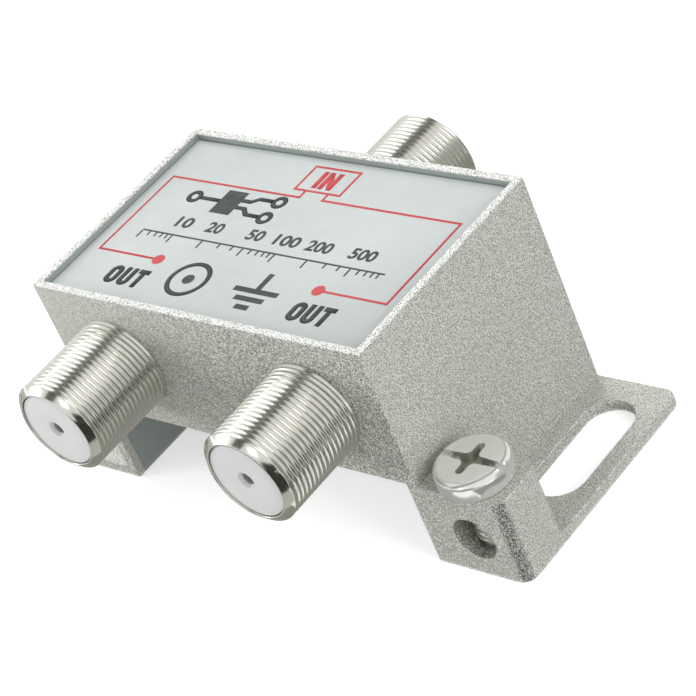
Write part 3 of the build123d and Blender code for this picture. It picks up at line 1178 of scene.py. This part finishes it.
studio = {
    "floorShades": ((0.85, 0.85, 0.85), (0.80, 0.80, 0.80)),
    "floorGlow": 0.5,
    "floorDrop": 0.00005,  # below the feet, so that the two don't share a plane
    "fill": 0.64,
    "fillColour": (0.97, 0.985, 1),
    "lamps": (
        # name, place, aimed at, size, watts, seen in the metal or not
        ("keyLeft", (-0.30, 0.24, 0.32), (0, 0, 0.01), (0.24, 0.28), 0.78, True),
        ("topRight", (0.225, 0.22, 0.335), (0, 0, 0.01), (0.06, 0.26), 0.18, True),
        ("frontLow", (-0.01, -0.44, 0.19), (0, 0, 0.01), (0.12, 0.12), 0.05, True),
        ("leftLow", (-0.40, -0.16, 0.05), (0, 0, 0.008), (0.14, 0.14), 0.95, False),
        ("leftFront", (-0.36, -0.26, 0.13), (0, 0, 0.01), (0.14, 0.16), 0.51, True),
        ("rightSide", (0.44, -0.06, 0.16), (0, 0, 0.01), (0.16, 0.22), 1.22, False),
    ),
    "cards": (
        # name, place, aimed at (None lies flat on the floor), size, shade
        ("frontRightCard", (0.115, -0.33, 0.03), (0, -0.02, 0.03), (0.17, 0.075), 0.04),
        ("frontFloorCard", (0.0, -0.14, 0.0004), None, (0.07, 0.2), 0.05),
        ("cornerFloorCard", (0.078, -0.186, 0.0004), None, (0.09, 0.300), 0.05),
        ("leftCard", (-0.34, 0.20, 0.05), (0, 0, 0.016), (0.5, 0.14), 0.88),
        ("leftFrontFloorCard", (-0.17, -0.065, 0.0003), None, (0.24, 0.10), 0.6),
        ("leftFloorCard", (-0.13, 0.08, 0.0003), None, (0.19, 0.20), 0.78),
        ("tableCard", (0.10, 0.1285, 0.0003), None, (0.34, 0.283), 0.36),
        ("underCard", (-0.0368, -0.0208, 0.0003), None, (0.1066, 0.0155), 0.34),
        ("lipCard", (-0.03, -0.0345, 0.0003), None, (0.114, 0.0115), 0.6),
        ("stepCard", (0.0238, -0.0178, 0.0003), None, (0.0145, 0.0095), 0.34),
        ("patchCard", (0.0418, -0.0150, 0.0005), None, (0.0186, 0.027), 0.03),
        ("rightCard", (0.30, 0.16, 0.080), (0, 0, 0.016), (0.36, 0.215), 0.38),
    ),
}


def aimed(place, target):
    return (Vector(target) - Vector(place)).to_track_quat("-Z", "Y").to_matrix().to_4x4()


def seenShare(tree):
    # 1 for the rays that see the white background: the camera's, and those in metal and glass
    path = tree.nodes.new("ShaderNodeLightPath")
    mirrored = mathNode(tree, "MAXIMUM", path.outputs["Is Camera Ray"], path.outputs["Is Glossy Ray"])
    return mathNode(tree, "MAXIMUM", mirrored, path.outputs["Is Transmission Ray"])


def makeWorld():
    world = bpy.data.worlds.new("studioWorld")
    world.use_nodes = True
    tree = world.node_tree
    tree.nodes.clear()
    seen, given = tree.nodes.new("ShaderNodeBackground"), tree.nodes.new("ShaderNodeBackground")
    feed(tree, seen.inputs["Color"], (1, 1, 1))
    feed(tree, given.inputs["Color"], studio["fillColour"])
    feed(tree, given.inputs["Strength"], studio["fill"])
    mix = tree.nodes.new("ShaderNodeMixShader")
    tree.links.new(seenShare(tree), mix.inputs["Fac"])
    tree.links.new(given.outputs[0], mix.inputs[1])
    tree.links.new(seen.outputs[0], mix.inputs[2])
    out = tree.nodes.new("ShaderNodeOutputWorld")
    tree.links.new(mix.outputs[0], out.inputs["Surface"])
    scene.world = world


def makeFloor():
    bm = bmesh.new()
    bmesh.ops.create_grid(bm, x_segments=8, y_segments=8, size=1.2,
                          matrix=Matrix.Translation((0, 0, -studio["floorDrop"])))
    floor = linked("studioFloor", meshFrom("studioFloor", bm))
    lighter, darker = studio["floorShades"]
    material, tree, shader, spots = surface("floorPaper", darker, 0.0, 0.9)
    coloured(tree, shader, mixColour(tree, noiseNode(tree, spots, 30.0).outputs["Fac"], lighter, darker))
    feed(tree, shader.inputs["Emission Color"], (1, 1, 1))
    feed(tree, shader.inputs["Emission Strength"], times(tree, seenShare(tree), studio["floorGlow"]))
    floor.data.materials.append(material)


def makeLamps():
    for name, place, target, (wide, tall), watts, mirrored in studio["lamps"]:
        lamp = bpy.data.lights.new(name, "AREA")
        lamp.shape = "RECTANGLE"
        lamp.size, lamp.size_y = wide, tall
        lamp.energy = watts
        holder = linked(name, lamp)
        holder.matrix_world = Matrix.Translation(place) @ aimed(place, target)
        holder.visible_glossy = mirrored


def asCard(name, bm, shade):
    # a card that only the metal shows, as a photographer sets round bright work
    material, tree, shader = surface(name + "Paper", (0, 0, 0), 0.0, 1.0, 0.0)[:3]
    feed(tree, shader.inputs["Emission Color"], (shade, shade, shade * 0.93))
    feed(tree, shader.inputs["Emission Strength"], 1.0)
    card = linked(name, meshFrom(name, bm))
    card.data.materials.append(material)
    card.visible_camera = False
    card.visible_diffuse = False
    card.visible_shadow = False
    card.visible_transmission = False


def makeCards():
    for name, place, target, (wide, tall), shade in studio["cards"]:
        bm = bmesh.new()
        bmesh.ops.create_grid(bm, x_segments=1, y_segments=1, size=0.5,
                              matrix=Matrix.Diagonal((wide, tall, 1, 1)))
        bm.transform(Matrix.Translation(place) @ aimed(place, target or (*place[:2], -1)))
        asCard(name, bm, shade)


arch = {
    "radius": 0.36,
    "wide": 0.13,
    "from": 20,
    "to": 164,
    "crest": (85, 55, -0.022, 0.09),  # angle of the crest, span of the bend, x at the crest, how far it bends
    "middle": (0, -0.017, 0.018),
    "shade": 0.14,
}


def makeArch():
    # a dark bent strip from behind over the top to the front
    start, end = math.radians(arch["from"]), math.radians(arch["to"])
    crest, span, top, bend = arch["crest"]
    bm = bmesh.new()
    foot = Vector((0, math.cos(start), math.sin(start))) * arch["radius"]
    line = chain(bm, [foot + Vector((side * arch["wide"] / 2, 0, 0)) for side in (-1, 1)])
    bmesh.ops.spin(bm, geom=line, cent=(0, 0, 0), axis=(1, 0, 0), dvec=(0, 0, 0), angle=end - start, steps=24,
                   use_duplicate=False)
    for v in bm.verts:
        lean = (math.degrees(math.atan2(v.co.z, v.co.y)) - crest) / span
        v.co.x += top - bend * lean * lean
    bm.transform(Matrix.Translation(arch["middle"]))
    asCard("archStrip", bm, arch["shade"])


viewpoint = {"place": (0.16063, -0.11991, 0.14427), "turn": (53.536, 19.759, 38.631), "lens": 137.68}


def makeCamera():
    lens = bpy.data.cameras.new("productCamera")
    lens.lens = viewpoint["lens"]
    lens.sensor_width = 36
    lens.clip_start = 0.01
    camera = linked("productCamera", lens)
    camera.location = viewpoint["place"]
    camera.rotation_euler = [math.radians(angle) for angle in viewpoint["turn"]]
    scene.camera = camera


makeWorld()
makeFloor()
makeLamps()
makeCards()
makeArch()
makeCamera()
scene.view_settings.view_transform = "Standard"
print("splitter: studio set")

bpy.context.view_layer.update()
